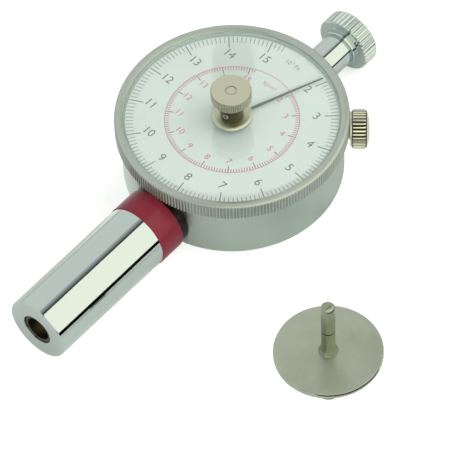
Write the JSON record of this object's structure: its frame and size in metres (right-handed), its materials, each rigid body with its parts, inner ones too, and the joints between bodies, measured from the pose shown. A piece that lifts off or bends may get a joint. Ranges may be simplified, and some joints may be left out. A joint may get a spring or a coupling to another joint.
{
  "type": "fruit hardness tester",
  "caption": "Hand-held dial penetrometer that shows how hard a fruit is, with a spring-loaded plunger barrel, a peak-holding dial and a separate pin indenter with its guard disc.",
  "frame": {"origin": "centre of the back cover's outer face, on the dial axis", "axes": "+Z out of the dial along the dial axis, -Y along the barrel towards the plunger's nose, +Y along the stem towards its cap, +X to the right of the dial seen from the front"},
  "size_m": [0.1071, 0.1237, 0.0355],
  "materials": {
    "case_aluminium": "satin anodised, fine turned grain",
    "cover_aluminium": "satin",
    "bezel_nickel": "satin nickel, finely knurled",
    "chrome_plate": "polished chrome plate",
    "band_red": "dark red sleeve",
    "tool_steel": "turned steel",
    "spring_steel": "oiled spring wire",
    "brass": "turned brass",
    "screw_steel": "zinc plated",
    "dial_white": "matt white dial paint with printed scales",
    "window_clear": "clear acrylic",
    "hand_dark": "blued steel hand",
    "knob_nickel": "satin nickel plate, warm",
    "indenter_steel": "turned stainless steel",
    "dial_ring_metal": "satin"
  },
  "bodies": {
    "frame": {"case": "case_aluminium", "back_cover": "cover_aluminium", "cover_screws": "screw_steel", "barrel": "chrome_plate", "red_band": "band_red", "spring_seat": "brass", "stem": "chrome_plate", "lower_bridge": "brass", "upper_bridge": "brass", "bridge_pillars": "brass", "bridge_screws": "screw_steel", "arbor_bushes": "brass", "bezel_snap_ring": "spring_steel", "measuring_spring": "spring_steel"},
    "plunger": {"plunger": "tool_steel", "rack_plate": "tool_steel", "rack_pins": "tool_steel", "guide_rod": "tool_steel"},
    "arbor": {"arbor": "tool_steel", "pinion": "brass", "drive_dog": "brass"},
    "peak_hand": {"peak_hand": "hand_dark", "hand_spindle": "tool_steel", "reset_knob": "knob_nickel", "knob_grub_screw": "knob_nickel"},
    "bezel": {"bezel": "bezel_nickel", "dial": "dial_white", "dial_ring": "dial_ring_metal", "window": "window_clear", "window_bush": "knob_nickel", "knob_washer": "knob_nickel"},
    "clamp_washer": {"clamp_washer": "knob_nickel"},
    "clamp_screw": {"clamp_screw": "knob_nickel"},
    "stem_cap": {"stem_cap": "chrome_plate"},
    "indenter": {"indenter_shank": "indenter_steel", "guard_disc": "indenter_steel"}
  },
  "joints": [
    {"name": "plunger_slide", "type": "slide", "parent": "frame", "child": "plunger", "axis": [0, 1, 0], "range_m": [0, 0.01], "stiffness_N_per_m": 1226, "springref_m": -0.00155, "deforming": ["measuring_spring"]},
    {"name": "arbor_turn", "type": "hinge", "parent": "frame", "child": "arbor", "pos_m": [0, 0, 0.00895], "axis": [0, 0, 1], "range_deg": [-325, 5]},
    {"name": "peak_hand_turn", "type": "hinge", "parent": "arbor", "child": "peak_hand", "pos_m": [0, 0, 0.0209], "axis": [0, 0, 1], "range_deg": [-322, 0]},
    {"name": "bezel_turn", "type": "hinge", "parent": "frame", "child": "bezel", "pos_m": [0, 0, 0.02], "axis": [0, 0, 1], "continuous": true},
    {"name": "clamp_washer_travel", "type": "slide", "parent": "frame", "child": "clamp_washer", "axis": [0.7716, 0.6361, 0], "range_m": [0, 0.0008]},
    {"name": "clamp_screw_turn", "type": "hinge", "parent": "clamp_washer", "child": "clamp_screw", "pos_m": [0.02354, 0.0194, 0.01645], "axis": [0.7716, 0.6361, 0], "range_deg": [-1, 721]},
    {"name": "stem_cap_off", "type": "slide", "parent": "frame", "child": "stem_cap", "axis": [0, 1, 0], "range_m": [0, 0.012]},
    {"name": "indenter_lift", "type": "slide", "parent": "frame", "child": "indenter", "axis": [0, 0, 1], "range_m": [0, 0.06]}
  ],
  "couplings": [
    {"joint": "arbor_turn", "follows": "plunger_slide", "rad_per_m": -555.56},
    {"joint": "clamp_screw_turn", "follows": "clamp_washer_travel", "rad_per_m": 15708}
  ]
}
